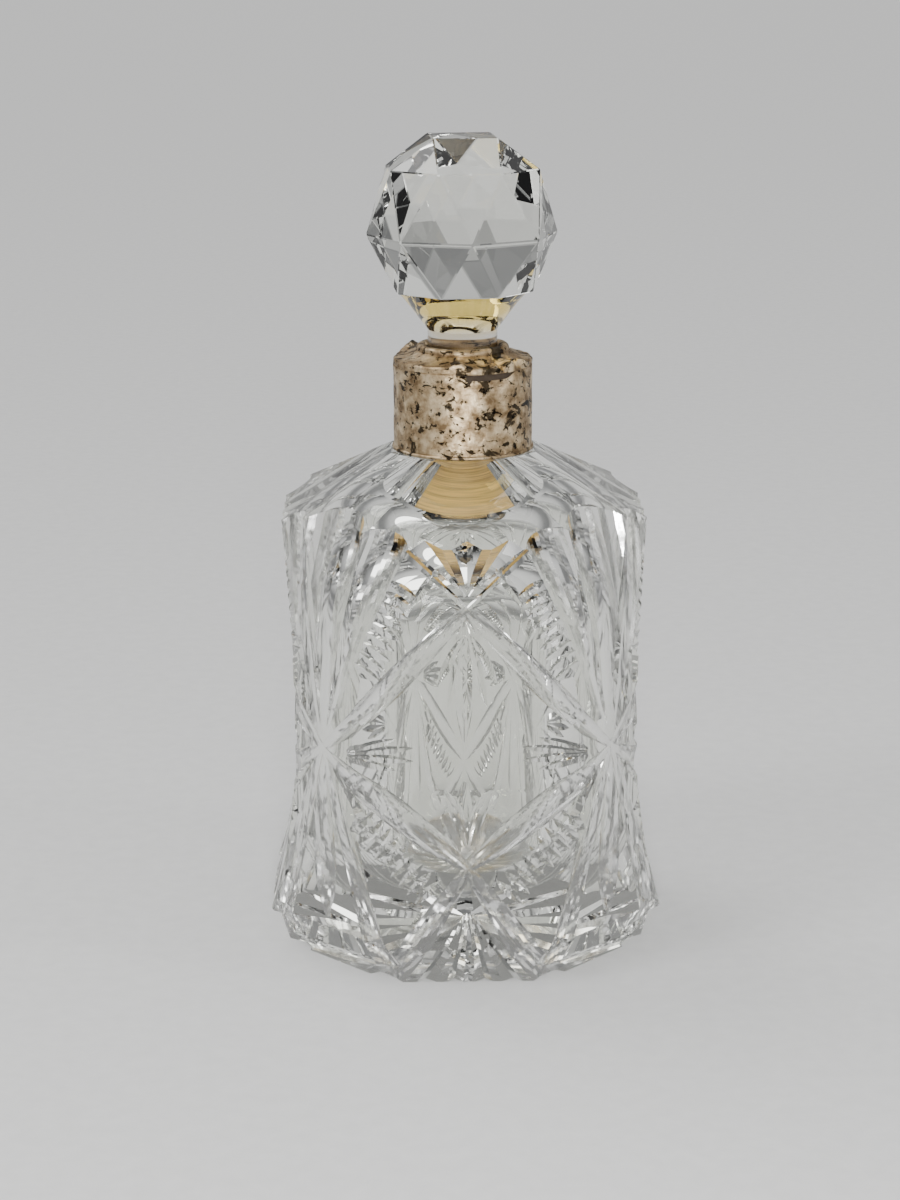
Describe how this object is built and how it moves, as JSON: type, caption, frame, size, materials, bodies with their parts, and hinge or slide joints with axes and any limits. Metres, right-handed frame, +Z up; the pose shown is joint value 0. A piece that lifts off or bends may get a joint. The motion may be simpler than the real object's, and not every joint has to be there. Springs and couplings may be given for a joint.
{
  "type": "perfume bottle",
  "caption": "Waisted eight-sided cut-glass perfume bottle with a metal collar and a lift-out faceted ball stopper on a ground taper plug.",
  "frame": {"origin": "centre of the underside, on the table", "axes": "+Z up along the bottle's axis, -Y out of the front main face, +X to the right seen from the front"},
  "size_m": [0.0684, 0.0684, 0.14],
  "materials": {
    "crystal": "polished cut crystal, ground inside the neck",
    "stopper_crystal": "polished facets, ground plug",
    "collar_metal": "worn, tarnished silver",
    "rim_metal": "worn, tarnished silver, dented",
    "cement": "aged plaster"
  },
  "bodies": {
    "bottle": {"body": "crystal", "collar_band": "collar_metal", "collar_rim": "rim_metal", "collar_cement": "cement"},
    "stopper": {"stopper": "stopper_crystal"}
  },
  "joints": [
    {"name": "stopper_lift", "type": "slide", "parent": "bottle", "child": "stopper", "axis": [0, 0, 1], "range_m": [0, 0.036]}
  ]
}
